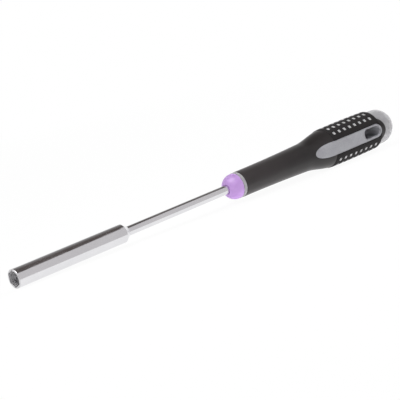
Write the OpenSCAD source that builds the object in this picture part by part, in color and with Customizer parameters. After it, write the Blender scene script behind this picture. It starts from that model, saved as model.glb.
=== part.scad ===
// Nut driver with a deep hex socket, a round blade and a moulded three-shot handle.
// The tool axis lies along X, from the socket mouth at -X to the rounded end at +X.
// The hang hole runs along Y, and the lowest row of pips touches the ground plane.

/* [Socket] */
// Across flats of the nut that the socket drives
nut_af = 7; // [6.4:0.1:7.6]
// Slack of the hex over the nut, across flats
hex_slack = 0.05; // [0.02:0.01:0.15]
// Steel outside the corners of the hex
socket_wall = 0.38; // [0.34:0.02:1.2]
// Length of the straight part of the socket
socket_l = 61; // [50:1:80]
// Length of the cone behind the straight part
cone_l = 3; // [1:0.25:6]
// Lip of the cone over the blade
cone_lip = 0.15; // [0.05:0.05:0.4]
// Bevel round the outside of the mouth
mouth_bevel = 0.1; // [0.05:0.05:0.3]
// Depth of the conical lead-in at the mouth
lead_in = 0.15; // [0.1:0.05:0.5]
// Depth of the hex
hex_depth = 14; // [8:1:20]
// Turn of the hex about the tool axis, in degrees
hex_turn = 6.5; // [0:0.5:60]
// Step from the flats of the hex in to the bolt bore
bore_step = 0.9; // [0.6:0.05:1.1]
// Depth to which the blade is pressed into the socket
spigot_l = 14; // [8:1:24]

/* [Blade] */
// Diameter of the blade
blade_d = 4.5; // [3.6:0.1:4.6]
// Length from the socket mouth to the nose of the handle
blade_l = 127; // [100:1:200]
// Width across the coined wings on the tang
wing_w = 9; // [6:0.5:11]
// Thickness of the wings
wing_t = 1.6; // [1:0.1:3]

/* [Handle core] */
// Diameter of the nose
nose_d = 12.6; // [12:0.1:13.4]
// Diameter of the flat front face of the nose
nose_face_d = 6; // [5.4:0.1:9]
// Length of the straight stretch behind the rounded nose
nose_straight = 0.76; // [0.3:0.02:3]
// Length of the cone where the core widens into the bulb
core_cone_l = 5; // [3:0.5:8]
// Core left in front of the wings and behind them
core_cover = 2; // [1:0.25:3]
// Number of key ribs round the core
rib_count = 4; // [2:1:6]
// Width of a key rib
rib_w = 2.4; // [1.5:0.1:4]
// Height of a key rib
rib_h = 1; // [0.5:0.1:2]

/* [Handle body] */
// Diameter of the front collar
collar_d = 12.7; // [12.2:0.1:13.4]
// Width of the front collar
collar_l = 1.9; // [1:0.1:3]
// Wall of the body over the core inside the neck
body_wall = 1; // [0.6:0.05:1.6]
// Wall of the body over the key ribs
rib_cover = 1.6; // [1:0.1:2.4]
// Length of the rounded end behind the bulb
dome_l = 15; // [12:0.5:20]

/* [Grip] */
// Thickness of the soft layer over the neck
neck_soft_t = 0.95; // [0.6:0.05:1.2]
// Thickness of the soft layer at the crown of the bulb
bulb_soft_t = 1.05; // [0.9:0.05:1.6]
// Diameter of the neck at its front edge
neck_front_d = 12.9; // [12.6:0.1:14]
// Diameter of the neck where the shoulder starts
neck_rear_d = 14.6; // [13.6:0.1:16]
// Length of the neck
neck_l = 43.3; // [30:0.5:60]
// Length of the shoulder from neck to bulb
shoulder_l = 19.5; // [14:0.5:26]
// Largest diameter of the smooth bulb
bulb_d = 20.3; // [20:0.1:22]
// Length of the bulb
bulb_l = 32; // [28:0.5:44]
// Fall of the bulb's radius over a length of its own
bulb_sag = 0.7; // [0.2:0.1:1]
// Height of the rough band above the smooth skin
band_rise = 0.2; // [0.1:0.05:0.4]
// Start of the rough band ahead of the bulb
band_lead = 2.5; // [0.5:0.25:4]
// Bevel round the rear edge of the rough band
band_bevel = 0.7; // [0.3:0.1:1]
// Width of the soft rim behind each side panel
rim_w = 3.2; // [1:0.1:3.6]

/* [Side panels and hang hole] */
// Reach of a side panel ahead of the bulb
panel_reach = 15.2; // [12:0.2:17]
// Length of the tapered tip of a side panel
panel_tip_l = 10; // [4:0.5:12]
// Width of the hang hole
hole_w = 5.2; // [4.4:0.1:6]
// Length of the hang hole
hole_l = 12.3; // [9:0.1:14]
// Width of the panel beside the hang hole
hole_rim = 1; // [0.6:0.1:1.6]
// Distance from the hang hole to the rear of the bulb
hole_back = 0.7; // [0:0.1:3]
// Solid body between the core and the hang hole
hole_front_wall = 5; // [3:0.5:7]

/* [Pips] */
// Pips in one row
pip_count = 8; // [4:1:9]
// Rows above, and as many below
pip_rows = 5; // [3:1:5]
// Angle between two rows
row_angle = 23.75; // [18:0.25:24]
// Size of a pip round the handle
pip_w = 1.8; // [1.7:0.1:2.6]
// Size of a pip along the handle
pip_l = 1.4; // [1:0.1:1.6]
// Height of a pip above the rough band
pip_proud = 0.15; // [0.05:0.05:0.3]
// Distance from the start of the bulb to the first pip's middle
pip_front = 0.55; // [0:0.05:3]
// Distance from the last pip's middle to the rear of the bulb
pip_back = 4.35; // [3:0.05:6]

/* [Hidden] */
$fn = 64;

// Overrun of every cut
over = 1;
// Steps of each curved stretch of an outline
curve_steps = 10;
// Place of the largest bulb diameter along the bulb
crown_share = 0.4;

// Socket
hex_af = nut_af + hex_slack;
hex_d = hex_af / cos(30);
bolt_bore_d = nut_af - 2 * bore_step;
socket_d = hex_d + 2 * socket_wall;
socket_end = socket_l + cone_l;
spigot_u = socket_end - spigot_l;

// Stations along the tool, measured from the socket mouth
nose_u = blade_l + sqrt(pow(nose_d, 2) - pow(nose_face_d, 2)) / 2;
nose_end = nose_u + nose_straight;
grip_u = nose_end + collar_l;
shoulder_u = grip_u + neck_l;
bulb_u = shoulder_u + shoulder_l;
bulb_end = bulb_u + bulb_l;
total_l = bulb_end + dome_l;
dome_d = bulb_d - 2 * bulb_soft_t;
dome_u = total_l - dome_d / 2;
band_u = bulb_u - band_lead;
crown_u = bulb_u + crown_share * bulb_l;

// Hang hole and side panels
hole_end = bulb_end - hole_back;
hole_u = hole_end - hole_l;
panel_w = hole_w + 2 * hole_rim;
panel_rear_u = hole_end - hole_w / 2;
panel_tip_u = bulb_u - panel_reach;
rim_d = panel_w + 2 * rim_w;
rim_end = panel_rear_u + rim_d / 2;

// Core and tang
core_neck_d = neck_front_d - 2 * neck_soft_t - 2 * body_wall;
core_bulb_d = dome_d - 2 * rib_cover - 2 * rib_h;
core_cone_u = bulb_u - core_cone_l;
core_end = hole_u - hole_front_wall;
wing_u = bulb_u + core_cover;
tang_end = core_end - core_cover;

// Pips
pip_pitch = (bulb_l - pip_front - pip_back) / (pip_count - 1);
band_top_r = bulb_d / 2 + band_rise;
axis_h = band_top_r + pip_proud;

// Radius of the smooth outer skin at a station
function ease(t) = t * t * (3 - 2 * t);
function mix(a, b, t) = a + (b - a) * t;
function neck_r(u) = mix(neck_front_d, neck_rear_d, pow((u - grip_u) / neck_l, 2)) / 2;
function bulb_r(u) = bulb_d / 2 - bulb_sag * pow((u - crown_u) / bulb_l, 2);
function shoulder_t(u) = ease((u - shoulder_u) / shoulder_l);
function skin_r(u) =
    u <= shoulder_u ? neck_r(u) :
    u < bulb_u ? mix(neck_rear_d / 2, bulb_r(bulb_u), shoulder_t(u)) :
    bulb_r(u);

// Radius of the body under the soft layer at a station
function body_r(u) =
    u <= shoulder_u ? neck_r(u) - neck_soft_t :
    u < bulb_u ? mix(neck_rear_d / 2 - neck_soft_t, dome_d / 2, shoulder_t(u)) :
    dome_d / 2;

// Stations from stop to stop, and the points of an outline along them
function along(stops) = concat([stops[0]], [
    for (k = [1 : len(stops) - 1])
        for (i = [1 : curve_steps])
            mix(stops[k - 1], stops[k], i / curve_steps)]);
function skin_points(stops, rise) = [for (u = along(stops)) [skin_r(u) + rise, u]];
function body_points(stops) = [for (u = along(stops)) [body_r(u), u]];

// Places the tool axis, with the part centred over the origin
module placed() {
    translate([-total_l / 2, 0, axis_h]) children();
}

// Turns an outline of radius and station about the tool axis
module turned() {
    rotate([0, 90, 0]) rotate_extrude() children();
}

// Pushes an outline of station and height through the handle along the hole axis
module pushed() {
    rotate([90, 0, 0]) linear_extrude(height = 2 * band_top_r + 2 * over, center = true) children();
}

// Round rod between two stations
module rod(d, from, to) {
    translate([from, 0, 0]) rotate([0, 90, 0]) cylinder(d = d, h = to - from);
}

// Outline of a side panel: a tapered tip in front, a round end behind
module panel_outline() {
    half = panel_w / 2;
    tip = [for (i = [0 : 2 * curve_steps])
        let (a = 90 + 90 * i / curve_steps)
        [panel_tip_u + panel_tip_l * (1 + cos(a)), half * sin(a)]];
    polygon(concat(tip, [[panel_rear_u, -half], [panel_rear_u, half]]));
    translate([panel_rear_u, 0]) circle(d = panel_w);
}

// Outline of the hang hole
module hole_outline() {
    middle = (hole_u + hole_end) / 2;
    for (u = [hole_u + hole_w / 2, hole_end - hole_w / 2])
        translate([u, 0]) circle(d = hole_w);
    translate([middle, 0]) square([hole_l - hole_w, hole_w], center = true);
}

// All pips, as pegs that run out past the skin
module pip_pegs() {
    root = dome_d / 2 - band_rise - over;
    for (side = [0, 180])
        for (row = [0 : pip_rows - 1])
            for (i = [0 : pip_count - 1])
                rotate([side + (row - (pip_rows - 1) / 2) * row_angle, 0, 0])
                    translate([bulb_u + pip_front + i * pip_pitch, 0, root])
                        linear_extrude(height = axis_h + over - root) pip_outline();
}

module pip_outline() {
    side = (pip_w - pip_l) / 2;
    for (y = [-side, side])
        translate([0, y]) circle(d = pip_l);
    square([pip_l, 2 * side], center = true);
}

// Smooth skin of the handle, up to the end of the rim
module skin() {
    turned() polygon(concat(
        [[0, grip_u]],
        skin_points([grip_u, shoulder_u, bulb_u, rim_end], 0),
        [[0, rim_end]]));
}

// Rough band at a height above the smooth skin
module band(rise) {
    turned() polygon(concat(
        [[0, band_u]],
        skin_points([band_u, bulb_u, bulb_end - band_bevel], rise),
        [[skin_r(bulb_end) + rise - band_bevel, bulb_end], [0, bulb_end]]));
}

module blade_solid() {
    rod(blade_d, spigot_u, tang_end);
    translate([wing_u, -wing_w / 2, -wing_t / 2]) cube([tang_end - wing_u, wing_w, wing_t]);
}

module core_solid() {
    turned() {
        intersection() {
            translate([0, nose_u]) circle(d = nose_d);
            translate([0, blade_l]) square([nose_d, nose_u - blade_l]);
        }
        polygon([
            [0, blade_l], [nose_face_d / 2, blade_l], [nose_d / 2, nose_u], [nose_d / 2, nose_end],
            [core_neck_d / 2, nose_end], [core_neck_d / 2, core_cone_u],
            [core_bulb_d / 2, bulb_u], [core_bulb_d / 2, core_end], [0, core_end]]);
    }
    for (i = [0 : rib_count - 1])
        rotate([360 * i / rib_count, 0, 0])
            translate([bulb_u, -rib_w / 2, 0])
                cube([core_end - bulb_u, rib_w, core_bulb_d / 2 + rib_h]);
}

module body_turning() {
    turned() {
        polygon(concat(
            [[0, nose_end], [collar_d / 2, nose_end], [collar_d / 2, grip_u]],
            body_points([grip_u, shoulder_u, bulb_u]),
            [[dome_d / 2, dome_u], [0, total_l]]));
        intersection() {
            translate([0, dome_u]) circle(d = dome_d);
            translate([0, dome_u]) square(dome_d);
        }
    }
}

module hex_socket() {
    color("#c8c8cc") placed() difference() {
        turned() polygon([
            [0, 0], [socket_d / 2 - mouth_bevel, 0], [socket_d / 2, mouth_bevel], [socket_d / 2, socket_l],
            [blade_d / 2 + cone_lip, socket_end], [0, socket_end]]);
        translate([-over, 0, 0]) rotate([hex_turn, 0, 0]) rotate([0, 90, 0])
            cylinder(d = hex_d, h = hex_depth + over, $fn = 6);
        turned() polygon([
            [0, -over], [hex_af / 2 + lead_in + over, -over], [hex_af / 2, lead_in], [0, lead_in]]);
        rod(bolt_bore_d, 0, spigot_u);
        rod(blade_d, spigot_u - over, socket_end + over);
    }
}

module blade() {
    color("#d0d0d4") placed() blade_solid();
}

module handle_core() {
    color("#c298d8") placed() difference() {
        core_solid();
        blade_solid();
    }
}

module handle_body() {
    color("#a8a8ab") placed() difference() {
        union() {
            body_turning();
            intersection() {
                pushed() panel_outline();
                skin();
            }
            intersection() {
                pip_pegs();
                band(band_rise + pip_proud);
            }
        }
        core_solid();
        blade_solid();
        pushed() hole_outline();
    }
}

module grip_sleeve() {
    color("#3a383a") placed() difference() {
        union() {
            turned() polygon(concat(
                [[0, grip_u]],
                skin_points([grip_u, shoulder_u, bulb_u], 0),
                [[0, bulb_u]]));
            band(band_rise);
            intersection() {
                pushed() translate([panel_rear_u, 0]) circle(d = rim_d);
                skin();
            }
        }
        body_turning();
        pushed() panel_outline();
        pip_pegs();
    }
}

hex_socket();
blade();
handle_core();
handle_body();
grip_sleeve();
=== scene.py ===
# %% [markdown]
# # Dressing a nut driver
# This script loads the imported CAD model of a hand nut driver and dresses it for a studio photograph. The
# tool is a chromed hex socket on a chromed blade, in a handle moulded in three shots. Sizes of the tool
# are in millimetres, and stations are measured along it from the mouth of the socket. The studio round it
# is in metres.

# %% Load the frame
import math

import bmesh
import bpy
from mathutils import Matrix, Vector


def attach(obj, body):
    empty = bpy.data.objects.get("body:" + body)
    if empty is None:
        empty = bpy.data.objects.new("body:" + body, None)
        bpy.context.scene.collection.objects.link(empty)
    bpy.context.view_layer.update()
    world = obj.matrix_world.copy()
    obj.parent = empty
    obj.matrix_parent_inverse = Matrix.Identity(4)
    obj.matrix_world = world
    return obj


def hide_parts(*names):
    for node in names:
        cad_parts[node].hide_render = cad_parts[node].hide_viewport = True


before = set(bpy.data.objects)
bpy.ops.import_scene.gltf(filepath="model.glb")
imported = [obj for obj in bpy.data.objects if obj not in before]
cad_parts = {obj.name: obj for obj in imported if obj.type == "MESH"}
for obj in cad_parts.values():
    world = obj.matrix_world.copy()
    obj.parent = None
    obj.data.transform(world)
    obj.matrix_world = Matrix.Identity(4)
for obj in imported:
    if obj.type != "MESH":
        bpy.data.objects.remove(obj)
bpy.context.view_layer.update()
print("CAD nodes:", ", ".join(sorted(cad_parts)))

# %% [markdown]
# ## From the tool to the frame
# The drawing of a turned tool gives a station along the axis and a radius. The frame has its origin under
# the middle of the tool, in metres. One function goes from the first to the second, so that every piece
# lands where the CAD has it. A second gives only the place along the axis, for finishes that change
# there.

# %% Stations to frame
MM = 0.001
TOTAL = 245.0
AXIS_HEIGHT = 10.5


def place(station, y, z):
    return Vector(((station - TOTAL / 2) * MM, y * MM, (AXIS_HEIGHT + z) * MM))


def axis_x(station):
    return place(station, 0, 0).x


print("mouth of the socket:", place(0, 0, 0)[:])

# %% [markdown]
# ## One way to add a node
# Materials and Geometry Nodes are both node trees. A small function adds a node, sets its properties and
# fills its inputs. An input that is given another node is linked to that node's first output, and one
# that is given an output is linked to that. Colours are written as sRGB hex values, the way a paint chart
# gives them, and turned to the linear values Blender works in.

# %% Node and colour helpers
def linear(hex_colour):
    parts = [int(hex_colour[i:i + 2], 16) / 255 for i in (1, 3, 5)]
    return [p / 12.92 if p <= 0.04045 else ((p + 0.055) / 1.055) ** 2.4 for p in parts] + [1.0]


def add(tree, kind, inputs=None, ramp=(), **settings):
    node = tree.nodes.new(kind)
    for name, value in settings.items():
        setattr(node, name, value)
    for name, value in (inputs or {}).items():
        if isinstance(value, bpy.types.Node):
            value = value.outputs[0]
        if isinstance(value, bpy.types.NodeSocket):
            tree.links.new(value, node.inputs[name])
        else:
            node.inputs[name].default_value = value
    for stop, colour in enumerate(ramp):
        node.color_ramp.elements[stop].color = linear(colour)
    return node


def per_mm(size):
    return 1 / (size * MM)


print("mid grey #808080 is", round(linear("#808080")[0], 3), "in linear light")

# %% [markdown]
# ## Chrome plate
# The socket and the blade are steel, ground round, polished and chromed. The plate is a near mirror, so
# most of what it shows is the room. A picture of scratches could be wrapped round it, but noise drawn out
# round the axis needs no picture and has no seam. What is left of the grinding is a very faint ring
# pattern, about 0.1 mm apart on the real tool. That is too fine for a picture of the whole tool, so it is
# drawn at 0.6 mm. Patches of handling film a few millimetres wide change the roughness a little. At the
# rim of the mouth the plate is rougher and painted greyer: painted shade that dims the lamp's glint there.

# %% Chrome
def new_material(name):
    material = bpy.data.materials.new(name)
    material.use_nodes = True
    tree = material.node_tree
    tree.nodes.clear()
    return material, tree, add(tree, "ShaderNodeTexCoord").outputs["Object"]


def finished(material, shader):
    add(material.node_tree, "ShaderNodeOutputMaterial", {"Surface": shader})
    return material


def make_chrome(name, dark, pale, bright, dull):
    material, tree, spot = new_material(name)
    rings = add(tree, "ShaderNodeMapping", {"Vector": spot, "Scale": (1.0, 0.02, 0.02)})
    grind = add(tree, "ShaderNodeTexNoise", {"Vector": rings, "Scale": per_mm(0.6), "Detail": 3.0})
    film = add(tree, "ShaderNodeTexNoise", {"Vector": spot, "Scale": per_mm(7.0), "Detail": 4.0})
    rough = add(tree, "ShaderNodeMapRange", {
        "Value": film, "From Min": 0.3, "From Max": 0.7, "To Min": bright, "To Max": dull})
    tint = add(tree, "ShaderNodeValToRGB", {"Fac": film}, ramp=(dark, pale))
    bump = add(tree, "ShaderNodeBump", {"Height": grind, "Strength": 0.25, "Distance": 0.004 * MM})
    return finished(material, add(tree, "ShaderNodeBsdfPrincipled", {
        "Base Color": tint, "Roughness": rough, "Normal": bump, "Metallic": 1.0}))


chrome = make_chrome("chrome_plate_polished_on_steel", "#dedee1", "#eae9eb", 0.07, 0.16)
# The rim's greyer tint is painted shade that dims the lamp's glint on the rounded rim.
rim_chrome_painted_shade = make_chrome("chrome_plate_rim_painted_shade", "#c9c8ca", "#d5d4d6", 0.3, 0.4)
print("made", chrome.name, "and", rim_chrome_painted_shade.name)

# %% [markdown]
# ## Steel inside the recess
# Plating hardly reaches into a narrow hole. The walls of the hex and of the bolt bore are bare broached
# steel, dulled by nuts and grease, with fine scratches along the way the broach went. A rough metal would
# be the plain choice, but in a deep hole it mirrors itself over and over and turns to grain in the
# render. So the wall is a matt grey that spreads the light. It is painted darker for the first
# millimetres and paler deeper in: painted light that lifts the shade deep in the hole.

# %% Broached steel
PAINTED_LIGHT_FROM = 1.0
PAINTED_LIGHT_TO = 10.0


def make_recess_steel():
    material, tree, spot = new_material("broached_steel_unplated")
    drawn = add(tree, "ShaderNodeMapping", {"Vector": spot, "Scale": (0.05, 1.0, 1.0)})
    scratch = add(tree, "ShaderNodeTexNoise", {"Vector": drawn, "Scale": per_mm(0.35), "Detail": 4.0})
    station = add(tree, "ShaderNodeSeparateXYZ", {0: spot}).outputs["X"]
    # Painted light: the wall grows paler with depth, against the shade inside the hole.
    painted_depth_shading = add(tree, "ShaderNodeMapRange", {
        "Value": station, "From Min": axis_x(PAINTED_LIGHT_FROM), "From Max": axis_x(PAINTED_LIGHT_TO), "To Max": 0.85})
    scratches_and_painted_light = add(tree, "ShaderNodeMath", {0: scratch, 1: 0.15, 2: painted_depth_shading}, operation="MULTIPLY_ADD")
    tone = add(tree, "ShaderNodeValToRGB", {"Fac": scratches_and_painted_light}, ramp=("#a8a7a9", "#ebeaec"))
    bump = add(tree, "ShaderNodeBump", {"Height": scratch, "Strength": 0.1, "Distance": 0.02 * MM})
    return finished(material, add(tree, "ShaderNodeBsdfPrincipled", {
        "Base Color": tone, "Roughness": 0.8, "Normal": bump, "Specular IOR Level": 0.1}))


recess_steel = make_recess_steel()
print("made", recess_steel.name)

# %% [markdown]
# ## Coloured polypropylene
# The nose is a hard purple moulding. Its mould was blasted lightly, which gives a satin skin with a grain
# of about 0.2 mm, drawn here at 0.5 mm so that it shows. Pigment in polypropylene never mixes quite
# evenly, so the colour drifts a little over several millimetres. One noise for each size is enough for
# both.

# %% Purple plastic
PLASTIC_IOR = 1.49


def make_purple():
    material, tree, spot = new_material("purple_polypropylene_satin")
    drift = add(tree, "ShaderNodeTexNoise", {"Vector": spot, "Scale": per_mm(6.0), "Detail": 3.0})
    grain = add(tree, "ShaderNodeTexNoise", {"Vector": spot, "Scale": per_mm(0.5), "Detail": 2.0})
    tone = add(tree, "ShaderNodeValToRGB", {"Fac": drift}, ramp=("#b58bce", "#c29bda"))
    rough = add(tree, "ShaderNodeMapRange", {"Value": grain, "To Min": 0.33, "To Max": 0.4})
    bump = add(tree, "ShaderNodeBump", {"Height": grain, "Strength": 0.05, "Distance": 0.02 * MM})
    return finished(material, add(tree, "ShaderNodeBsdfPrincipled", {
        "Base Color": tone, "Roughness": rough, "Normal": bump, "IOR": PLASTIC_IOR}))


purple = make_purple()
print("made", purple.name)

# %% [markdown]
# ## Grey polypropylene, three skins
# The grey moulding is one plastic with three skins. The rounded end and the collar come from a finely
# matt mould. The side panels come from a spark-eroded mould with a coarser pebble, and their grey is
# painted darker: painted shade for the shade in the pebble. The pips stand proud and are painted paler:
# a painted highlight for the light their tops catch. One function makes all three, from the size and the
# height of the grain and the range of gloss.

# %% Grey plastics
def make_grey(name, dark, pale, grain_size, grain_height, smooth, dull):
    material, tree, spot = new_material(name)
    grain = add(tree, "ShaderNodeTexNoise", {"Vector": spot, "Scale": per_mm(grain_size), "Detail": 3.0})
    drift = add(tree, "ShaderNodeTexNoise", {"Vector": spot, "Scale": per_mm(5.0), "Detail": 2.0})
    both = add(tree, "ShaderNodeMix", {0: 0.5, 2: grain, 3: drift})
    tone = add(tree, "ShaderNodeValToRGB", {"Fac": both}, ramp=(dark, pale))
    tone.color_ramp.elements[0].position = 0.3
    tone.color_ramp.elements[1].position = 0.7
    rough = add(tree, "ShaderNodeMapRange", {"Value": grain, "To Min": smooth, "To Max": dull})
    bump = add(tree, "ShaderNodeBump", {"Height": grain, "Strength": 0.4, "Distance": grain_height * MM})
    return finished(material, add(tree, "ShaderNodeBsdfPrincipled", {
        "Base Color": tone, "Roughness": rough, "Normal": bump, "IOR": PLASTIC_IOR}))


pale_grey = make_grey("grey_polypropylene_fine_matt", "#9b9a9d", "#a6a5a7", 0.5, 0.02, 0.15, 0.22)
# The panels' darker grey is painted shade for their pebble grain.
panel_grey_painted_shade = make_grey("grey_polypropylene_spark_eroded_painted_shade", "#8d8d92", "#a1a1a6", 0.55, 0.05, 0.5, 0.68)
# The pips' paler grey is a painted highlight for their lit tops.
pip_grey_painted_highlight = make_grey("grey_polypropylene_painted_highlight", "#acabad", "#bab9ba", 0.5, 0.02, 0.3, 0.42)
print("made", pale_grey.name, panel_grey_painted_shade.name, "and", pip_grey_painted_highlight.name)

# %% [markdown]
# ## Inside the hang hole
# The lining of the hang hole is the same grey, painted darker from the rim inwards: painted shade where
# the hole lies in shadow. It darkens by the distance from the middle of the handle, and patchy noise
# keeps that from being an even line.

# %% Hole lining
UNSHADED_TO = 9.8
PAINTED_SHADE_FROM = 5.0


def make_lining():
    material, tree, spot = new_material("grey_polypropylene_painted_shade_in_hole")
    across = add(tree, "ShaderNodeSeparateXYZ", {0: spot}).outputs["Y"]
    depth = add(tree, "ShaderNodeMath", {0: across}, operation="ABSOLUTE")
    patches = add(tree, "ShaderNodeTexNoise", {"Vector": spot, "Scale": per_mm(3.0), "Detail": 4.0})
    shift = add(tree, "ShaderNodeMapRange", {"Value": patches, "To Min": -1.0 * MM, "To Max": 1.0 * MM})
    depth = add(tree, "ShaderNodeMath", {0: depth, 1: shift}, operation="ADD")
    # Deeper in the hole the grey is painted darker: painted shade.
    painted_depth_shading = add(tree, "ShaderNodeMapRange", {
        "Value": depth, "From Min": UNSHADED_TO * MM, "From Max": PAINTED_SHADE_FROM * MM})
    tone = add(tree, "ShaderNodeValToRGB", {"Fac": painted_depth_shading}, ramp=("#a4a4a9", "#9a9a9e"))
    rough = add(tree, "ShaderNodeMapRange", {"Value": patches, "To Min": 0.45, "To Max": 0.7})
    bump = add(tree, "ShaderNodeBump", {"Height": patches, "Strength": 0.3, "Distance": 0.05 * MM})
    return finished(material, add(tree, "ShaderNodeBsdfPrincipled", {
        "Base Color": tone, "Roughness": rough, "Normal": bump, "IOR": PLASTIC_IOR}))


hole_lining = make_lining()
print("made", hole_lining.name)

# %% [markdown]
# ## Black soft grip
# The last shot is a black thermoplastic rubber. The neck came off a smooth mould face and has a soft
# sheen. Its front is painted a little paler: a painted sheen for the light it catches there. The band
# under the fingers was etched rough and is painted darker: painted shade for the shade in the etch. Two
# materials could meet at the step between them. One material that mixes two shaders by the station along
# the tool is simpler, because the sleeve is one mesh.

# %% Black rubber
PAINTED_SHEEN_FROM = 148.0
PAINTED_SHEEN_TO = 176.0
BAND_START = 195.5
BULB_END = 230.0
BLEND = 0.1
RUBBER_IOR = 1.5


def make_rubber():
    material, tree, spot = new_material("black_thermoplastic_rubber")
    along = add(tree, "ShaderNodeSeparateXYZ", {0: spot}).outputs["X"]
    start = add(tree, "ShaderNodeMapRange", {
        "Value": along, "From Min": axis_x(BAND_START - BLEND), "From Max": axis_x(BAND_START + BLEND)})
    end = add(tree, "ShaderNodeMapRange", {
        "Value": along, "From Min": axis_x(BULB_END + BLEND), "From Max": axis_x(BULB_END)})
    band = add(tree, "ShaderNodeMath", {0: start, 1: end}, operation="MULTIPLY")
    wear = add(tree, "ShaderNodeTexNoise", {"Vector": spot, "Scale": per_mm(8.0), "Detail": 4.0})
    # The front of the neck is painted paler: a painted sheen, mixed with random wear.
    painted_sheen = add(tree, "ShaderNodeMapRange", {
        "Value": along, "From Min": axis_x(PAINTED_SHEEN_FROM), "From Max": axis_x(PAINTED_SHEEN_TO),
        "To Min": 0.5, "To Max": 0.0})
    wear_and_painted_sheen = add(tree, "ShaderNodeMath", {0: wear, 1: 0.35, 2: painted_sheen}, operation="MULTIPLY_ADD")
    tone = add(tree, "ShaderNodeValToRGB", {"Fac": wear_and_painted_sheen}, ramp=("#141111", "#322c2d"))
    skin = add(tree, "ShaderNodeTexNoise", {"Vector": spot, "Scale": per_mm(0.9), "Detail": 3.0})
    bump = add(tree, "ShaderNodeBump", {"Height": skin, "Strength": 0.1, "Distance": 0.08 * MM})
    smooth = add(tree, "ShaderNodeBsdfPrincipled", {
        "Base Color": tone, "Roughness": 0.33, "Normal": bump, "IOR": RUBBER_IOR})
    etch = add(tree, "ShaderNodeTexNoise", {"Vector": spot, "Scale": per_mm(0.45), "Detail": 4.0})
    # The etched band's darker tone is painted shade for its rough etch.
    tone = add(tree, "ShaderNodeValToRGB", {"Fac": etch}, ramp=("#110f0f", "#1d191a"))
    bump = add(tree, "ShaderNodeBump", {"Height": etch, "Strength": 0.7, "Distance": 0.08 * MM})
    etched = add(tree, "ShaderNodeBsdfPrincipled", {
        "Base Color": tone, "Roughness": 0.72, "Normal": bump,
        "IOR": RUBBER_IOR, "Specular IOR Level": 0.27})
    return finished(material, add(tree, "ShaderNodeMixShader", {0: band, 1: smooth, 2: etched}))


rubber = make_rubber()
print("made", rubber.name)

# %% [markdown]
# ## Outlines with rounded corners
# No edge on a real tool is perfectly sharp, and a small round is what catches the light. A turned piece
# is drawn as an outline of stations and radii, with a rounding at each corner that has one. The first
# function below swaps such a corner for a short arc. The others give a point on a circle and even steps
# on a line.

# %% Outline helpers
ARC_STEPS = 5


def rounded(corners):
    points = []
    for i, (u, r, fillet) in enumerate(corners):
        here = Vector((u, r))
        if not fillet:
            points.append(here)
            continue
        back = (Vector(corners[i - 1][:2]) - here).normalized()
        ahead = (Vector(corners[(i + 1) % len(corners)][:2]) - here).normalized()
        half = back.angle(ahead) / 2
        centre = here + (back + ahead).normalized() * (fillet / math.sin(half))
        first = here + back * (fillet / math.tan(half)) - centre
        last = here + ahead * (fillet / math.tan(half)) - centre
        swing = first.angle_signed(last)
        for k in range(ARC_STEPS + 1):
            points.append(centre + Matrix.Rotation(-swing * k / ARC_STEPS, 2) @ first)
    return points


def on_circle(centre, radius, degrees):
    angle = math.radians(degrees)
    return centre + radius * math.cos(angle), radius * math.sin(angle)


def spread(a, b, count):
    return [a + (b - a) * k / count for k in range(count)]


print("each rounded corner becomes", ARC_STEPS + 1, "points")

# %% [markdown]
# ## A lathe in Geometry Nodes
# Blade, nose, collar and rounded end are all turned shapes: they follow one rule, an outline that goes
# round the axis. Blender's Screw modifier could do this. A Geometry Nodes tree shows the rule itself: a
# grid is laid out with one side along the outline and the other round the axis, and each point of the
# grid looks up its station and radius. The seam and the poles are merged at the end.

# %% Lathe tree
def new_tree(name, inputs, output):
    tree = bpy.data.node_groups.new(name, "GeometryNodeTree")
    for label, kind in inputs.items():
        tree.interface.new_socket(label, in_out="INPUT", socket_type="NodeSocket" + kind)
    tree.interface.new_socket(output, in_out="OUTPUT", socket_type="NodeSocketGeometry")
    return tree, add(tree, "NodeGroupInput").outputs


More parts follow.
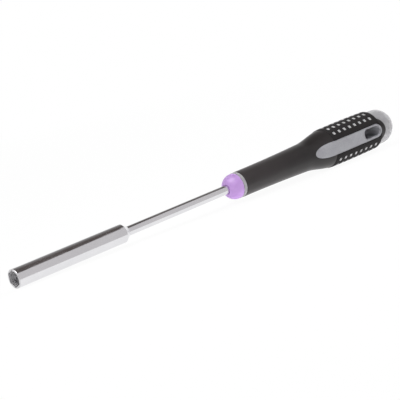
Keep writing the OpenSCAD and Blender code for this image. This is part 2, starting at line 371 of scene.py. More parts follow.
def make_lathe():
    tree, given = new_tree("turned_on_the_tool_axis", {
        "Outline": "Geometry", "Segments": "Int", "Axis height": "Float", "Finish": "Material"}, "Piece")
    count = add(tree, "GeometryNodeAttributeDomainSize", {0: given["Outline"]}).outputs["Point Count"]
    around = add(tree, "ShaderNodeMath", {0: given["Segments"], 1: 1.0}, operation="ADD")
    grid = add(tree, "GeometryNodeMeshGrid", {"Vertices X": count, "Vertices Y": around})
    number = add(tree, "GeometryNodeInputIndex")
    share = add(tree, "ShaderNodeMath", {0: number, 1: around}, operation="DIVIDE")
    row = add(tree, "ShaderNodeMath", {0: share}, operation="FLOOR")
    part = add(tree, "ShaderNodeMath", {0: number, 1: around}, operation="MODULO")
    turns = add(tree, "ShaderNodeMath", {0: part, 1: given["Segments"]}, operation="DIVIDE")
    angle = add(tree, "ShaderNodeMath", {0: turns, 1: math.tau}, operation="MULTIPLY")
    spot = add(tree, "GeometryNodeInputPosition")
    found = add(tree, "GeometryNodeSampleIndex", {
        "Geometry": given["Outline"], "Value": spot, "Index": row}, data_type="FLOAT_VECTOR")
    found = add(tree, "ShaderNodeSeparateXYZ", {0: found}).outputs
    sine = add(tree, "ShaderNodeMath", {0: angle}, operation="SINE")
    cosine = add(tree, "ShaderNodeMath", {0: angle}, operation="COSINE")
    y = add(tree, "ShaderNodeMath", {0: found["Z"], 1: sine}, operation="MULTIPLY")
    z = add(tree, "ShaderNodeMath", {
        0: found["Z"], 1: cosine, 2: given["Axis height"]}, operation="MULTIPLY_ADD")
    spun = add(tree, "ShaderNodeCombineXYZ", {"X": found["X"], "Y": y, "Z": z})
    moved = add(tree, "GeometryNodeSetPosition", {"Geometry": grid, "Position": spun})
    joined = add(tree, "GeometryNodeMergeByDistance", {"Geometry": moved, "Distance": 1e-6})
    real = add(tree, "GeometryNodeRealizeInstances", {"Geometry": joined})
    painted = add(tree, "GeometryNodeSetMaterial", {"Geometry": real, "Material": given["Finish"]})
    add(tree, "NodeGroupOutput", {"Piece": painted})
    return tree


lathe = make_lathe()
print("lathe tree with", len(lathe.nodes), "nodes")

# %% [markdown]
# ## Running a tree and keeping its mesh
# A modifier is asked for its result, the result becomes a plain mesh, and the modifier goes. The CAD
# frame then gets an ordinary object at the origin. Merging can leave faces turned inwards, so the normals
# are made to point out, and edges sharper than 35 degrees stay sharp.

# %% Mesh helpers
SHARP = 35.0
SAME_SPOT = 1e-7


def new_mesh(name, points, faces, finishes=(), edges=()):
    mesh = bpy.data.meshes.new(name)
    mesh.from_pydata(points, edges, faces)
    for finish in finishes:
        mesh.materials.append(finish)
    return mesh


def new_object(name, data):
    thing = bpy.data.objects.new(name, data)
    bpy.context.collection.objects.link(thing)
    return thing


def finish_mesh(mesh):
    work = bmesh.new()
    work.from_mesh(mesh)
    bmesh.ops.remove_doubles(work, verts=work.verts, dist=SAME_SPOT)
    bmesh.ops.dissolve_degenerate(work, edges=work.edges, dist=SAME_SPOT / 10)
    bmesh.ops.recalc_face_normals(work, faces=work.faces)
    for face in work.faces:
        face.smooth = True
    work.to_mesh(mesh)
    work.free()
    mesh.set_sharp_from_angle(angle=math.radians(SHARP))
    return mesh


print("edges stay sharp from", SHARP, "degrees")

# %% Tree runner
TURN_SEGMENTS = 128


def run_tree(tree, mesh, values):
    carrier = new_object("carrier", mesh)
    modifier = carrier.modifiers.new("tree", "NODES")
    modifier.node_group = tree
    for item in tree.interface.items_tree:
        if item.in_out == "INPUT" and item.name in values:
            modifier[item.identifier] = values[item.name]
    graph = bpy.context.evaluated_depsgraph_get()
    result = bpy.data.meshes.new_from_object(carrier.evaluated_get(graph), depsgraph=graph)
    carrier.modifiers.remove(modifier)
    bpy.data.objects.remove(carrier)
    return finish_mesh(result)


def turn(outline, finish):
    closed = outline + [outline[0]] if outline[0].y else outline
    spots = [(axis_x(p.x), 0, p.y * MM) for p in closed]
    mesh = new_mesh("outline", spots, [], edges=[(i, i + 1) for i in range(len(spots) - 1)])
    return run_tree(lathe, mesh, {
        "Segments": TURN_SEGMENTS, "Axis height": AXIS_HEIGHT * MM, "Finish": finish})


def show(name, mesh, nodes):
    piece = new_object(name, mesh)
    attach(piece, "root")
    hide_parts(*nodes)
    print(name, "has", len(mesh.polygons), "faces")


print("turned pieces have", TURN_SEGMENTS, "segments")

# %% [markdown]
# ## The blade
# A round rod, 4.5 mm thick. It is pressed 14 mm into the socket and runs deep into the handle. A cylinder
# would do, but the lathe also rounds its ends. Extra stations keep the faces of such a long rod from
# becoming needles.

# %% Blade
BLADE_R = 2.25
BLADE_START = 50.0
BLADE_END = 210.0
BLADE_ROUND = 0.3

rod = rounded([(BLADE_START, 0, 0), (BLADE_START, BLADE_R, BLADE_ROUND),
               (BLADE_END, BLADE_R, BLADE_ROUND), (BLADE_END, 0, 0)])
middle = len(rod) // 2
steps = [Vector((u, BLADE_R)) for u in spread(BLADE_START, BLADE_END, 40)[1:]]
show("blade_rod", turn(rod[:middle] + steps + rod[middle:], chrome), ["blade"])

# %% [markdown]
# ## The hex socket
# Outside, the socket is a plain barrel with a cone behind. Inside, it starts as a round lead-in, becomes
# a hexagon and then a round bore. A lathe can't make a hexagon, so this piece is lofted: ring after ring
# with the same number of points, each ring given by a radius for every angle. Where the lead-in cone
# meets the flats of the hex, the ring follows the curve in which the two cut each other.

# %% Hex and loft helpers
HEX_HALF = 3.525
HEX_TURN = 6.5


def hex_radius(angle):
    return HEX_HALF / math.cos(math.radians((angle - HEX_TURN) % 60 - 30))


def loft(rings, finishes, choose):
    count = len(rings[0])
    faces = []
    for i in range(len(rings)):
        after = (i + 1) % len(rings)
        for k in range(count):
            beside = (k + 1) % count
            faces.append((i * count + k, i * count + beside, after * count + beside, after * count + k))
    mesh = new_mesh("loft", [p for ring in rings for p in ring], faces, finishes)
    for number, face in enumerate(mesh.polygons):
        face.material_index = choose(number // count)
    return finish_mesh(mesh)


print("hex is", 2 * HEX_HALF, "mm over flats and", round(2 * hex_radius(HEX_TURN), 2), "mm over corners")

# %% Socket
SOCKET_R = 4.45
SOCKET_END = 64.0
CONE_START = 61.0
RIM_ROUND = 0.25
LEAD_IN = 0.15
HEX_DEPTH = 14.0
BOLT_R = 2.6
BLADE_HOLE_R = 2.27
RING_POINTS = 192


def socket_ring(station, radius):
    ring = []
    for k in range(RING_POINTS):
        angle = HEX_TURN + 360 * k / RING_POINTS
        u = station(angle) if callable(station) else station
        r = radius(angle) if callable(radius) else radius
        ring.append(place(u, -r * math.sin(math.radians(angle)), r * math.cos(math.radians(angle))))
    return ring


def lead_in(angle):
    return max(HEX_HALF + LEAD_IN, hex_radius(angle))


def lead_in_depth(angle):
    return max(0.05, HEX_HALF + LEAD_IN - hex_radius(angle))


def make_socket():
    outside = rounded([
        (SOCKET_END, 2.28, 0), (SOCKET_END, 2.4, 0.06), (CONE_START, SOCKET_R, 0.35),
        (0, SOCKET_R, RIM_ROUND), (0, SOCKET_R - 0.3, 0)])
    barrel = [(u, SOCKET_R) for u in spread(CONE_START, 1, 20)[1:]]
    inside = [
        (0, lambda angle: lead_in(angle) + 0.04), (0.02, lead_in), (lead_in_depth, hex_radius),
        (0.4, hex_radius), (HEX_DEPTH / 2, hex_radius), (HEX_DEPTH - 0.2, hex_radius),
        (HEX_DEPTH, lambda angle: hex_radius(angle) - 0.2), (HEX_DEPTH, BOLT_R), (32, BOLT_R),
        (BLADE_START, BOLT_R), (BLADE_START, BLADE_HOLE_R), (SOCKET_END - 0.1, BLADE_HOLE_R)]
    split = sum(p.x > CONE_START / 2 for p in outside)
    profile = outside[:split] + barrel + outside[split:] + inside
    rim = split + len(barrel)
    recess = len(outside) + len(barrel) + 3
    return loft([socket_ring(u, r) for u, r in profile], [chrome, rim_chrome_painted_shade, recess_steel],
                lambda row: (row >= rim) + (row >= recess))


show("socket_deep_hex", make_socket(), ["hex_socket"])

# %% [markdown]
# ## The purple nose
# The core of the handle shows only as a rounded nose in front: a ball of 12.6 mm, cut flat where the
# blade comes out. A small relief round the blade gives the dark line seen there. The core behind it is
# hidden, so it is turned in the same outline without its ribs.

# %% Nose
NOSE_R = 6.3
NOSE_CENTRE = 132.54
NOSE_FRONT = 127.0
NOSE_BACK = 133.3
CORE_R = 4.5
TAIL_R = 6.5
TAIL_START = 193.0
TAIL_FULL = 198.0

ball = [on_circle(NOSE_CENTRE, NOSE_R, 180 - a) + (0,) for a in range(32, 91, 3)]
nose_outline = rounded(
    [(BLADE_END, BLADE_HOLE_R, 0), (NOSE_FRONT + 0.6, BLADE_HOLE_R, 0), (NOSE_FRONT + 0.3, 2.34, 0),
     (NOSE_FRONT, 2.38, 0.08), (NOSE_FRONT + 0.02, 3.05, 0.2)] + ball
    + [(NOSE_BACK - 0.05, NOSE_R, 0.12), (NOSE_BACK, CORE_R, 0), (TAIL_START, CORE_R, 0),
       (TAIL_FULL, TAIL_R, 0), (BLADE_END, TAIL_R, 0)])
show("core_purple_nose", turn(nose_outline, purple), ["handle_core"])

# %% [markdown]
# ## The shape of the handle
# The handle's skin is a narrow neck that opens slowly, a soft S-shaped shoulder, and a bulb with a slight
# crown. These three rules give the radius at any station, and everything on the handle is laid on them.
# The grey body under the soft grip follows the same rules, one thickness of the grip further in.

# %% Handle rules
GRIP_START = 135.2
SHOULDER = 178.5
BULB = 198.0
CROWN = 210.8
NECK_R = 6.45
SHOULDER_R = 7.3
BULB_R = 10.15
DOME_R = 9.1
SOFT = 0.95
CROWN_FALL = 0.7
CROWN_REACH = 32.0


def shoulder_radius(u, low, high):
    t = (u - SHOULDER) / (BULB - SHOULDER)
    return low + (high - low) * t * t * (3 - 2 * t)


def bulb_radius(u):
    return BULB_R - CROWN_FALL * ((u - CROWN) / CROWN_REACH) ** 2


def skin_radius(u):
    if u <= SHOULDER:
        return NECK_R + (SHOULDER_R - NECK_R) * ((u - GRIP_START) / (SHOULDER - GRIP_START)) ** 2
    if u < BULB:
        return shoulder_radius(u, SHOULDER_R, bulb_radius(BULB))
    return bulb_radius(u)


def body_radius(u):
    if u <= SHOULDER:
        return skin_radius(u) - SOFT
    if u < BULB:
        return shoulder_radius(u, SHOULDER_R - SOFT, DOME_R)
    return DOME_R


print("neck, shoulder and crown:", [round(skin_radius(u), 2) for u in (GRIP_START, SHOULDER, CROWN)])

# %% [markdown]
# ## Collar and rounded end
# Both belong to the grey moulding, and both are turned. The collar is the pale ring behind the nose, with
# the rest of the moulding hidden under the grip. The rounded end is half a ball of 18.2 mm on a short
# cylinder.

# %% Collar and rounded end
COLLAR_R = 6.35
COLLAR_ROUND = 0.15
CLEAR = 0.02
BODY_END = 212
DOME_START = 229.6

collar_outline = rounded(
    [(BODY_END, TAIL_R + 0.1, 0), (TAIL_FULL, TAIL_R + 0.1, 0), (TAIL_START, CORE_R + CLEAR, 0),
     (NOSE_BACK, CORE_R + CLEAR, 0), (NOSE_BACK + CLEAR, COLLAR_R, COLLAR_ROUND),
     (GRIP_START, COLLAR_R, COLLAR_ROUND), (GRIP_START + CLEAR, body_radius(GRIP_START), 0)]
    + [(u, body_radius(u), 0) for u in range(138, BODY_END + 1, 2)])
show("body_front_collar", turn(collar_outline, pale_grey), ["handle_body"])

cap = [on_circle(TOTAL - DOME_R, DOME_R, 90 - a) for a in range(0, 90, 3)]
dome_outline = [Vector(p) for p in [
    (DOME_START, 0), (DOME_START, DOME_R - 0.1), (DOME_START + 0.1, DOME_R), (232, DOME_R), (234, DOME_R),
    *cap, (TOTAL, 0)]]
show("body_rounded_end", turn(dome_outline, pale_grey), ["handle_body"])

# %% [markdown]
# ## The outline of a side panel
# Each panel is a long leaf: an elliptical tip in front, straight sides, and a round end behind that
# follows the hang hole. Its half width at any station cuts the window in the grip and shapes the panel
# itself. The distance to this outline is used to round the edges on both sides of the seam.

# %% Panel rules
TIP = 182.8
TIP_LENGTH = 10.0
PANEL_HALF = 3.6
PANEL_REAR = 226.7
PANEL_END = PANEL_REAR + PANEL_HALF


def panel_half(u):
    if u <= TIP or u >= PANEL_END:
        return 0.0
    if u < TIP + TIP_LENGTH:
        return PANEL_HALF * math.sqrt(1 - ((TIP + TIP_LENGTH - u) / TIP_LENGTH) ** 2)
    if u <= PANEL_REAR:
        return PANEL_HALF
    return math.sqrt(PANEL_HALF ** 2 - (u - PANEL_REAR) ** 2)


def tip_station(degrees):
    return TIP + TIP_LENGTH * (1 - math.cos(math.radians(degrees)))


edge = [Vector((tip_station(a), PANEL_HALF * math.sin(math.radians(a)))) for a in range(0, 91, 2)]
edge += [Vector(on_circle(PANEL_REAR, PANEL_HALF, 90 - a)) for a in range(0, 91, 3)]


def edge_distance(u, z):
    spot = Vector((u, abs(z)))
    gaps = []
    for a, b in zip(edge, edge[1:]):
        t = max(0.0, min(1.0, (spot - a).dot(b - a) / (b - a).length_squared))
        gaps.append((spot - a - (b - a) * t).length)
    return min(gaps)


def fillet_drop(distance, size):
    if distance >= size:
        return 0.0
    return size - math.sqrt(max(0.0, size ** 2 - (size - distance) ** 2))


print("panel runs from", TIP, "to", PANEL_END, "and is", 2 * PANEL_HALF, "mm wide")

# %% [markdown]
# ## The soft grip
# The grip is a thin sleeve with two leaf-shaped windows. A boolean could cut them, but it would leave
# edges that can't be rounded. So the sleeve is built as two half shells, above and below the windows.
# Rows run across at fixed stations, so the step where the rough band starts is a clean line, and the
# first and last point of each row lie on the edge of a window. An inner skin closes the shell.

# %% Grip stations
BAND_RISE = 0.2
BAND_LEAD = 0.03
BAND_RAMP = 0.09
FRONT_ROUND = 0.25
REAR_ROUND = 0.8
ROUND_START = BULB_END - REAR_ROUND

grip_rows = [GRIP_START + d for d in (0, 0.03, 0.1, FRONT_ROUND)]
grip_rows += spread(GRIP_START + 1, TIP - 1, 44) + [TIP - d for d in (1, 0.5, 0.12, 0.06, 0)]
grip_rows += [tip_station(a) for a in range(3, 80, 3)]
grip_rows += spread(191.2, BAND_START - 0.1, 9)
grip_rows += [BAND_START + d for d in (-0.1, -BAND_LEAD, 0.03, 0.06, 0.12, 0.25)]
grip_rows += spread(BAND_START + 0.8, ROUND_START, 60)
grip_rows += [ROUND_START + REAR_ROUND * math.sin(math.radians(a)) for a in range(0, 91, 15)]


def band_rise(u):
    if u < BAND_START - BAND_LEAD:
        return 0.0
    step = min(1.0, (u - BAND_START + BAND_LEAD) / BAND_RAMP)
    return BAND_RISE * step - 0.6 * fillet_drop(BULB_END - u, REAR_ROUND)


def front_drop(u):
    return fillet_drop(u - GRIP_START, FRONT_ROUND) * 0.4


print("grip has", len(grip_rows), "rows")

# %% Grip shell
SEAM = 0.12
ACROSS = 96
WINDOW_EDGE = 0.6


def strip(first, second, count):
    return [(first + k, first + k + 1, second + k + 1, second + k) for k in range(count)]


def grip_row(u, inner):
    radius = body_radius(u) if inner else skin_radius(u) + band_rise(u) - front_drop(u)
    start = math.asin(min(1.0, panel_half(u) / radius))
    length = (math.pi - 2 * start) * radius
    offsets = [0, 0.02, 0.06, SEAM, 0.3]
    middle = spread(WINDOW_EDGE, length - WINDOW_EDGE, ACROSS) + [length - WINDOW_EDGE]
    row = []
    for s in offsets + middle + [length - d for d in reversed(offsets)]:
        angle = start + s / radius
        drop = 0.0
        if not inner and u > TIP - 0.3 and min(s, length - s) < 1:
            drop = fillet_drop(edge_distance(u, radius * math.sin(angle)), SEAM)
        row.append((u, -(radius - drop) * math.cos(angle), (radius - drop) * math.sin(angle)))
    return row


def grip_shell():
    points, faces = [], []
    outer = [grip_row(u, False) for u in grip_rows]
    inner = [grip_row(u, True) for u in grip_rows]
    wide, last = len(outer[0]), len(outer) - 1
    for side in (1, -1):
        top = len(points)
        points += [place(u, y, side * z) for rows in (outer, inner) for row in rows for u, y, z in row]
        under = top + wide * len(outer)
        for i in range(last):
            here, after = i * wide, (i + 1) * wide
            for skin in (top, under):
                faces += strip(skin + here, skin + after, wide - 1)
            if grip_rows[i] >= TIP:
                faces += [(top + here + k, top + after + k, under + after + k, under + here + k)
                          for k in (0, wide - 1)]
        for here in (0, last * wide):
            faces += strip(top + here, under + here, wide - 1)
    return points, faces


grip_points, grip_faces = grip_shell()
print("grip shell has", len(grip_faces), "faces before merging")

# %% [markdown]
# Behind each panel the grip reaches back over the rounded end in a short round tongue. It is half a ring
# about the centre of the panel's rear end, laid on the skin, with its edges rounded.

# %% Grip tongues
TONGUE_WIDTH = 3.2
TONGUE_ROUND = 0.5
TONGUE_TURN = 100
TONGUE_STEPS = 40


def tongue(side):
    offsets = [0, 0.02, 0.06, SEAM, 0.35, 0.8, 1.25, 1.7, 2.2]
    offsets += [TONGUE_WIDTH - d for d in (TONGUE_ROUND, 0.35, 0.2, 0.1, 0.03, 0)]
    points, faces = [], []
    for inner in (False, True):
        for angle in spread(-TONGUE_TURN, TONGUE_TURN, TONGUE_STEPS) + [TONGUE_TURN]:
            for d in offsets:
                u, z = on_circle(PANEL_REAR, PANEL_HALF + d, angle)
                drop = fillet_drop(d, SEAM) + fillet_drop(TONGUE_WIDTH - d, TONGUE_ROUND)
                radius = DOME_R - 0.1 if inner else skin_radius(u) - drop
                points.append(place(u, side * math.sqrt(radius ** 2 - z ** 2), z))
    wide, under = len(offsets), len(offsets) * (TONGUE_STEPS + 1)
    for k in range(TONGUE_STEPS):
        here, after = k * wide, (k + 1) * wide
        for skin in (0, under):
            faces += strip(skin + here, skin + after, wide - 1)
        faces += [(here + i, after + i, under + after + i, under + here + i) for i in (0, wide - 1)]
    for here in (0, TONGUE_STEPS * wide):
        faces += strip(here, under + here, wide - 1)
    return points, faces


for side in (-1, 1):
    tongue_points, tongue_faces = tongue(side)
    start = len(grip_points)
    grip_points += tongue_points
    grip_faces += [tuple(start + i for i in face) for face in tongue_faces]

grip_mesh = finish_mesh(new_mesh("grip", grip_points, grip_faces, [rubber]))
show("grip_soft_sleeve", grip_mesh, ["grip_sleeve"])

# %% [markdown]
# ## Side panels and hang hole
# The two panels and the lining of the hang hole are one slab that goes right through the handle. The
# front of the leaf is a plain grid. Round the hole, rings lead from the hole's edge out to the panel's
# edge, so both edges are clean and can be rounded. The other side is the same with y turned round.

# %% Leaf rows
PANEL_ROUND = 0.15
HOLE_R = 2.6
HOLE_FRONT = 219.6
HOLE_ROUND = 0.4
JOIN = 213.0
COLUMNS = 24


def hole_distance(u, z):
    return math.hypot(u - max(HOLE_FRONT, min(PANEL_REAR, u)), z) - HOLE_R


def panel_depth(u, z):
    drop = fillet_drop(edge_distance(u, z), PANEL_ROUND)
    drop += fillet_drop(max(0.0, hole_distance(u, z)), HOLE_ROUND)
    return math.sqrt((skin_radius(u) - drop) ** 2 - z ** 2)


def leaf_row(u):
    half = panel_half(u)
    edge_steps = [d * min(1.0, half / 0.6) for d in (0, 0.03, 0.08, PANEL_ROUND)]
    inside = half - edge_steps[-1]
    middle = spread(-inside, inside, COLUMNS)[1:]
    return [-half + d for d in edge_steps] + middle + [half - d for d in reversed(edge_steps)]


leaf_rows = [tip_station(a) for a in (1, 2, 3, 5, 7.5, *range(10, 90, 4))]
leaf_rows += spread(TIP + TIP_LENGTH, JOIN, 30) + [JOIN]
print("leaf has", len(leaf_rows), "rows of", len(leaf_row(JOIN)), "points")

# %% Rings round the hole
def ring_ends():
    shelf = [(u, PANEL_HALF) for u in spread(HOLE_FRONT, JOIN, 12)]
    front = shelf + [(JOIN, z) for z in reversed(leaf_row(JOIN))] + [(u, -z) for u, z in reversed(shelf)]
    last = len(front) - 1
    ends = [(spot, on_circle(HOLE_FRONT, HOLE_R, 90 + 180 * i / last)) for i, spot in enumerate(front)]
    straight = spread(HOLE_FRONT, PANEL_REAR, 14)[1:]
    ends += [((u, -PANEL_HALF), (u, -HOLE_R)) for u in straight]
    ends += [(on_circle(PANEL_REAR, PANEL_HALF, a), on_circle(PANEL_REAR, HOLE_R, a))
             for a in spread(-90, 90, 40) + [90]]
    return ends + [((u, PANEL_HALF), (u, HOLE_R)) for u in reversed(straight)]


def ring_steps(gap):
    near = [0, 0.02, 0.06, 0.12, 0.2, 0.3, HOLE_ROUND]
    far = [gap - d for d in (PANEL_ROUND, 0.08, 0.03, 0)]
    return near + spread(HOLE_ROUND, far[0], 6)[1:] + far


def panel_slab(ends):
    points, faces = [], []
    rows = [[(u, z) for z in leaf_row(u)] for u in leaf_rows]
    wide, count = len(rows[0]), len(ring_steps(1))
    for side in (-1, 1):
        tip = len(points)
        spots = [(TIP, 0)] + [spot for row in rows for spot in row]
        faces += [(tip, tip + 1 + k, tip + 2 + k) for k in range(wide - 1)]
        for first in range(tip + 1, tip + 1 + (len(rows) - 1) * wide, wide):
            faces += strip(first, first + wide, wide - 1)
        ring = tip + len(spots)
        for i, ((ou, oz), (iu, iz)) in enumerate(ends):
            gap = math.hypot(ou - iu, oz - iz)
            spots += [(iu + (ou - iu) * d / gap, iz + (oz - iz) * d / gap) for d in ring_steps(gap)]
            faces += strip(ring + i * count, ring + (i + 1) % len(ends) * count, count - 1)
        points += [place(u, side * panel_depth(u, z), z) for u, z in spots]
    return points, faces


panel_ends = ring_ends()
slab_points, slab_faces = panel_slab(panel_ends)
print("two panel faces with", len(slab_faces), "faces")

# %% [markdown]
# The walls of the slab run along Y. The lining of the hole has several rows so that its shading is
# smooth. The outer wall goes down behind the edge of the grip.

# %% Lining and walls
LINING_ROWS = 16
WALL_ROWS = 4


def wall(loop, rows):
    start, count = len(slab_points), rows + 1
    for i, (u, z) in enumerate(loop):
        depth = panel_depth(u, z)
        slab_points.extend(place(u, depth * (2 * k / rows - 1), z) for k in range(count))
        slab_faces.extend(strip(start + i * count, start + (i + 1) % len(loop) * count, rows))


rear = [outer for outer, inner in panel_ends if outer[0] > JOIN and outer[1] >= 0]
upper = [(TIP, 0.0)] + [(u, panel_half(u)) for u in leaf_rows] + sorted(rear, key=lambda s: (s[0], -s[1]))
lining_start = len(slab_faces)
wall([inner for outer, inner in panel_ends], LINING_ROWS)
lining_end = len(slab_faces)
wall(upper + [(u, -z) for u, z in reversed(upper) if z > 1e-9], WALL_ROWS)

slab_mesh = new_mesh("panels", slab_points, slab_faces, [panel_grey_painted_shade, hole_lining])
for face in slab_mesh.polygons[lining_start:lining_end]:
    face.material_index = 1
show("body_side_panels", finish_mesh(slab_mesh), ["handle_body"])

# %% [markdown]
# ## Pips
# The grey moulding comes through the grip as rows of small pips, eight to a row, five rows above and five
# below. A Geometry Nodes tree sets one point for each pip from its number, lays it on the bulb and puts a
# rounded peg there. The peg is a cube with creased edges, subdivided, so it has few faces.

# %% Pip tree
def make_pip_tree():
    tree, given = new_tree("pips_on_the_bulb", {
        "Pips per row": "Int", "Rows per side": "Int", "Row angle": "Float", "First": "Float",
        "Pitch": "Float", "Crown": "Float", "Crown radius": "Float", "Fall": "Float",
        "Axis height": "Float", "Size": "Vector", "Finish": "Material"}, "Pips")
    rows, per_row = given["Rows per side"], given["Pips per row"]
    one_side = add(tree, "ShaderNodeMath", {0: rows, 1: per_row}, operation="MULTIPLY")
    total = add(tree, "ShaderNodeMath", {0: one_side, 1: 2.0}, operation="MULTIPLY")
    points = add(tree, "GeometryNodePoints", {"Count": total})
    number = add(tree, "GeometryNodeInputIndex")
    place_in_row = add(tree, "ShaderNodeMath", {0: number, 1: per_row}, operation="MODULO")
    station = add(tree, "ShaderNodeMath", {
        0: place_in_row, 1: given["Pitch"], 2: given["First"]}, operation="MULTIPLY_ADD")
    row = add(tree, "ShaderNodeMath", {0: number, 1: per_row}, operation="DIVIDE")
    row = add(tree, "ShaderNodeMath", {0: row}, operation="FLOOR")
    side = add(tree, "ShaderNodeMath", {0: row, 1: rows}, operation="DIVIDE")
    side = add(tree, "ShaderNodeMath", {0: side}, operation="FLOOR")
    step = add(tree, "ShaderNodeMath", {0: row, 1: rows}, operation="MODULO")
    middle = add(tree, "ShaderNodeMath", {0: rows, 1: 0.5, 2: -0.5}, operation="MULTIPLY_ADD")
    step = add(tree, "ShaderNodeMath", {0: step, 1: middle}, operation="SUBTRACT")
    half_turn = add(tree, "ShaderNodeMath", {0: side, 1: math.pi}, operation="MULTIPLY")
    angle = add(tree, "ShaderNodeMath", {
        0: step, 1: given["Row angle"], 2: half_turn}, operation="MULTIPLY_ADD")
    off = add(tree, "ShaderNodeMath", {0: station, 1: given["Crown"]}, operation="SUBTRACT")
    fall = add(tree, "ShaderNodeMath", {0: off, 1: off}, operation="MULTIPLY")
    fall = add(tree, "ShaderNodeMath", {0: fall, 1: given["Fall"]}, operation="MULTIPLY")
    radius = add(tree, "ShaderNodeMath", {0: given["Crown radius"], 1: fall}, operation="SUBTRACT")
    sine = add(tree, "ShaderNodeMath", {0: angle}, operation="SINE")
    cosine = add(tree, "ShaderNodeMath", {0: angle}, operation="COSINE")
    y = add(tree, "ShaderNodeMath", {0: radius, 1: sine}, operation="MULTIPLY")
    y = add(tree, "ShaderNodeMath", {0: 0.0, 1: y}, operation="SUBTRACT")
    z = add(tree, "ShaderNodeMath", {
        0: radius, 1: cosine, 2: given["Axis height"]}, operation="MULTIPLY_ADD")
    spot = add(tree, "ShaderNodeCombineXYZ", {"X": station, "Y": y, "Z": z})
    laid = add(tree, "GeometryNodeSetPosition", {"Geometry": points, "Position": spot})
    cube = add(tree, "GeometryNodeMeshCube", {"Size": given["Size"]})
    peg = add(tree, "GeometryNodeSubdivisionSurface", {"Mesh": cube, "Level": 3, "Edge Crease": 0.4})
    lean = add(tree, "ShaderNodeCombineXYZ", {"X": angle})
    copies = add(tree, "GeometryNodeInstanceOnPoints", {"Points": laid, "Instance": peg, "Rotation": lean})
    real = add(tree, "GeometryNodeRealizeInstances", {"Geometry": copies})
    painted = add(tree, "GeometryNodeSetMaterial", {"Geometry": real, "Material": given["Finish"]})
    add(tree, "NodeGroupOutput", {"Pips": painted})
    return tree


pip_tree = make_pip_tree()
print("pip tree with", len(pip_tree.nodes), "nodes")

# %% Pips
PIPS_PER_ROW = 8
PIP_ROWS = 5
ROW_ANGLE = 23.75
FIRST_PIP = 198.55
PIP_PITCH = 27.1 / 7
PIP_SIZE = (1.55, 1.8, 1.5)
PIP_TOP = 0.33

pip_mesh = run_tree(pip_tree, bpy.data.meshes.new("pips"), {
    "Pips per row": PIPS_PER_ROW, "Rows per side": PIP_ROWS, "Row angle": math.radians(ROW_ANGLE),
    "First": axis_x(FIRST_PIP), "Pitch": PIP_PITCH * MM, "Crown": axis_x(CROWN),
    "Crown radius": (BULB_R + PIP_TOP - PIP_SIZE[2] / 2) * MM, "Fall": CROWN_FALL / CROWN_REACH ** 2 / MM,
    "Axis height": AXIS_HEIGHT * MM, "Size": [s * MM for s in PIP_SIZE], "Finish": pip_grey_painted_highlight})
show("body_pips", pip_mesh, ["handle_body"])

# %% [markdown]
# ## Floor and room
# The tool lies on a white table, on its bulb and on the edge of its socket, so the table leans a little
# in the tool's own frame. Seen by the camera, in mirrors and through glass, table and room are white.
# Near the tool a part of the table is plain diffuse white, which keeps a soft shadow. Farther off that
# part fades out, so there is no line where the table ends.

# %% Table finish
def white_to_the_eye(tree):
    path = add(tree, "ShaderNodeLightPath").outputs
    seen = add(tree, "ShaderNodeMath", {
        0: path["Is Camera Ray"], 1: path["Is Glossy Ray"]}, operation="MAXIMUM")
    return add(tree, "ShaderNodeMath", {0: seen, 1: path["Is Transmission Ray"]}, operation="MAXIMUM")


def make_table_white():
    material, tree, spot = new_material("white_table")
    away = add(tree, "ShaderNodeVectorMath", {0: spot}, operation="LENGTH").outputs["Value"]
    white = add(tree, "ShaderNodeMapRange", {
        "Value": away, "From Min": 0.2, "From Max": 0.8, "To Min": 0.95, "To Max": 1.0})
    share = add(tree, "ShaderNodeMath", {0: white_to_the_eye(tree), 1: white}, operation="MULTIPLY")
    matt = add(tree, "ShaderNodeBsdfDiffuse", {"Color": linear("#f4f4f4")})
    glow = add(tree, "ShaderNodeEmission", {"Color": (1, 1, 1, 1), "Strength": 1.0})
    return finished(material, add(tree, "ShaderNodeMixShader", {0: share, 1: matt, 2: glow}))


table_white = make_table_white()
print("made", table_white.name)

# %% Floor
FLOOR_HALF = 9
FLOOR_GAP = 0.0001
socket_low = place(0.2, 0, -SOCKET_R)
bulb_low = place(CROWN, 0, -AXIS_HEIGHT)
slope = (bulb_low.z - socket_low.z) / (bulb_low.x - socket_low.x)


def table_height(x):
    return bulb_low.z + slope * (x - bulb_low.x)


def rectangle(left, right, low, high):
    return (left, low), (right, low), (right, high), (left, high)


def flat_sheet(name, corners, material):
    sheet = new_object(name, new_mesh(name, corners, [tuple(range(len(corners)))], [material]))
    return sheet


flat_sheet("floor", [(x, y, table_height(x) - FLOOR_GAP) for x, y in rectangle(
    -FLOOR_HALF, FLOOR_HALF, -FLOOR_HALF, FLOOR_HALF)], table_white)
print("floor leans", round(math.degrees(math.atan(slope)), 2), "degrees")

# %% World
ROOM_LIGHT = 0.08
world = bpy.data.worlds.new("white_room")
bpy.context.scene.world = world
world.use_nodes = True
room = world.node_tree
room.nodes.clear()
level = add(room, "ShaderNodeMapRange", {
    "Value": white_to_the_eye(room), "To Min": ROOM_LIGHT, "To Max": 1.0})
sky = add(room, "ShaderNodeBackground", {"Color": (1, 1, 1, 1), "Strength": level})
add(room, "ShaderNodeOutputWorld", {"Surface": sky})
print("the room lights the tool at", ROOM_LIGHT, "and is seen as white")

# %% [markdown]
# ## Cards for the reflections
# Polished metal in an all-white room has no shape, so cards hang round the tool as in a studio. They show
# in reflections alone and cast no light or shadow. The dark card above is cut to what the socket and the
# blade mirror, and gives the dark band along their tops. Grey cards in front, above and on the table give
# the quieter middle. Two dark cards on the right keep the upper side of the handle deep, and one stands
# for the dark front of the camera. A grey card behind gives the chrome its shape from the other side.
# Each card may fade to a second colour as it goes back.

# %% Card maker
FADE_FROM = 0.15
FADE_TO = 2.6


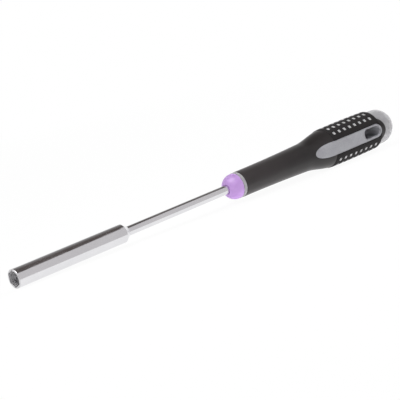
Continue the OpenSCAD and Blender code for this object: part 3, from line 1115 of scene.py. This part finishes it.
def card(name, corners, near, far="#ffffff"):
    material, tree, spot = new_material(name)
    across = add(tree, "ShaderNodeSeparateXYZ", {0: spot}).outputs["Y"]
    fade = add(tree, "ShaderNodeMapRange", {"Value": across, "From Min": FADE_FROM, "From Max": FADE_TO})
    tone = add(tree, "ShaderNodeValToRGB", {"Fac": fade}, ramp=(near, far))
    glow = add(tree, "ShaderNodeEmission", {"Color": tone, "Strength": 1.0})
    sheet = flat_sheet(name, corners, finished(material, glow))
    for ray in ("camera", "diffuse", "transmission", "shadow"):
        setattr(sheet, "visible_" + ray, False)
    print("card", name, "with", len(corners), "corners")


print("cards fade from", FADE_FROM, "to", FADE_TO, "m behind the tool")

# %% Cards
GREY = "#d3d1d2"
DARK = "#2e2b2b"
CARD_HEIGHT = 1.0
DARK_BAND = [
    (0.3, -0.72), (0.59, -0.72), (0.695, -0.08), (0.87, -0.24), (0.86, 0.06), (0.9, 0.35), (1.08, 0.79),
    (1.5, 1.47), (2.4, 2.7), (1.25, 2.7), (0.65, 1.47), (0.36, 0.79), (0.24, 0.35), (0.2, 0.06),
    (0.2, -0.2)]
DARK_RIGHT = [
    (0.98, -0.13), (1.27, -0.95), (2.0, -1.9), (2.6, -1.9), (1.75, -0.9), (1.45, -0.1), (1.4, 0.5),
    (1.15, 0.6), (1.03, 0.3)]
DARK_FRONT = [(0.55, 0.03), (1.3, 0.03), (1.3, 0.9), (0.86, 0.9), (0.74, 0.58), (0.6, 0.3)]
TABLE_PART = [(-0.4, -2.5), (1.5, -2.5), (1.5, -0.088), (-0.4, -0.001)]
CAMERA_FRONT = place(0, 0, 0) + Vector((-0.336, -0.57, 0.121))

card("dark_card_above", [(x, y, CARD_HEIGHT) for x, y in DARK_BAND], "#5a5452", "#d2d2d2")
card("grey_card_above", [(x, y, CARD_HEIGHT + 0.02) for x, y in rectangle(0.3, 1.15, -1.1, 0.1)], GREY)
card("grey_card_in_front", [(x, -2.5, z) for x, z in rectangle(-6, 6, -0.4, 4.0)], GREY)
card("grey_card_on_table", [(x, y, table_height(x) + 0.0003) for x, y in TABLE_PART], GREY)
card("grey_card_behind", [(x, 0.62, z) for x, z in rectangle(-0.5, 0.12, 0.35, 0.8)], "#8c8888")
card("dark_card_above_right", [(x, y, CARD_HEIGHT) for x, y in DARK_RIGHT], DARK, DARK)
card("dark_card_in_front_right", [(x, -0.5, z) for x, z in DARK_FRONT], DARK)
card("dark_camera_front", [
    CAMERA_FRONT + Vector((x, -0.6 * x, z)) for x, z in rectangle(-0.16, 0.16, -0.13, 0.13)], "#2c2a2a")

# %% [markdown]
# ## Lamps
# Three soft lamps, as round a product table. A large one overhead on the left models the plastics and
# makes the soft highlight on the nose. A second at the right end lights the rounded end. A lit sheet in
# the table itself lights the underside. Only the first is mirrored, and it hangs where the straight
# chrome doesn't show it.

# %% Lamps
def soft_lamp(name, spot, aim, size, watts, mirrored):
    data = bpy.data.lights.new(name, "AREA")
    data.size = size
    data.energy = watts
    lamp = new_object(name, data)
    lamp.location = spot
    lamp.rotation_euler = (Vector(aim) - Vector(spot)).to_track_quat("-Z", "Y").to_euler()
    lamp.visible_camera = False
    lamp.visible_glossy = mirrored
    print("lamp", name, "of", watts, "W")


TOOL_MIDDLE = (0.01, 0, 0.01)
soft_lamp("key_softbox", (-0.22, -0.13, 0.73), TOOL_MIDDLE, 0.6, 5.8, True)
soft_lamp("fill_softbox", (1.1, 0.05, 0.4), TOOL_MIDDLE, 0.8, 13.0, False)
soft_lamp("table_light", (0, 0, table_height(0) - FLOOR_GAP / 2), (-slope, 0, 1), 0.6, 0.6, False)

# %% [markdown]
# ## Camera
# The photograph was taken from in front of the socket, a little above the tool, with the camera turned so
# that the tool runs from low left to high right. The camera's axes were solved from the round edges along
# the tool, for a long lens.

# %% Camera
right = Vector((0.72991931, -0.63115535, -0.26241326))
up = Vector((0.30682376, -0.04051793, 0.95090351))
back = Vector((-0.61080028, -0.77459746, 0.16407864))
lens = bpy.data.cameras.new("camera")
lens.lens = 135.4
lens.sensor_width = 36
camera = new_object("camera", lens)
spot = place(0, 0, 0) + Vector((-326.308, -553.075, 117.508)) * MM
camera.matrix_world = Matrix.Translation(spot) @ Matrix((right, up, back)).transposed().to_4x4()
bpy.context.scene.camera = camera
bpy.context.scene.view_settings.view_transform = "Standard"
print("camera at", [round(c, 3) for c in camera.location])
